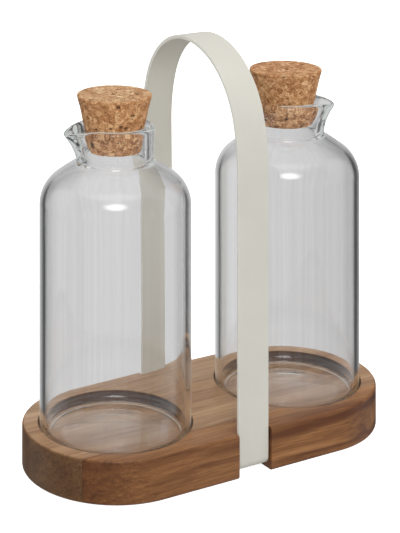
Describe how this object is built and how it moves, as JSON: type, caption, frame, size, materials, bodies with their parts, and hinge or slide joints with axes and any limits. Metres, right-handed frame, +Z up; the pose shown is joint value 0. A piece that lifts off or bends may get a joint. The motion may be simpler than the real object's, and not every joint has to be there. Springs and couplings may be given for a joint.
{
  "type": "cruet set",
  "caption": "Cruet set: clear glass bottles with pouring lips and tapered cork stoppers, seated in recesses of a stadium-shaped wooden caddy with a flat steel strap handle.",
  "frame": {"origin": "centre of the board's underside, on the table plane", "axes": "+X along the board from the left bottle to the right one, +Y across the board from its front face to its rear face, +Z up"},
  "size_m": [0.196, 0.092, 0.205],
  "materials": {
    "wood_front": "oiled acacia, reddish brown, satin",
    "wood_middle": "oiled acacia, grey brown, satin",
    "wood_rear": "oiled acacia, light tan, satin",
    "powder_coat": "fine matt powder coat, off-white",
    "screw_steel": "zinc-plated steel, satin",
    "glass": "clear soda-lime glass, polished",
    "cork": "agglomerated cork, matt, pitted"
  },
  "bodies": {
    "caddy": {"base_stave_front": "wood_front", "base_stave_middle": "wood_middle", "base_stave_rear": "wood_rear", "handle_strap": "powder_coat", "handle_screws": "screw_steel"},
    "left_bottle": {"bottle_left": "glass"},
    "right_bottle": {"bottle_right": "glass"},
    "left_stopper": {"stopper_left": "cork"},
    "right_stopper": {"stopper_right": "cork"}
  },
  "joints": [
    {"name": "left_bottle_lift", "type": "slide", "parent": "caddy", "child": "left_bottle", "axis": [0, 0, 1], "range_m": [0, 0.2]},
    {"name": "right_bottle_lift", "type": "slide", "parent": "caddy", "child": "right_bottle", "axis": [0, 0, 1], "range_m": [0, 0.2]},
    {"name": "left_stopper_pull", "type": "slide", "parent": "left_bottle", "child": "left_stopper", "axis": [0, 0, 1], "range_m": [0, 0.04]},
    {"name": "right_stopper_pull", "type": "slide", "parent": "right_bottle", "child": "right_stopper", "axis": [0, 0, 1], "range_m": [0, 0.04]}
  ]
}
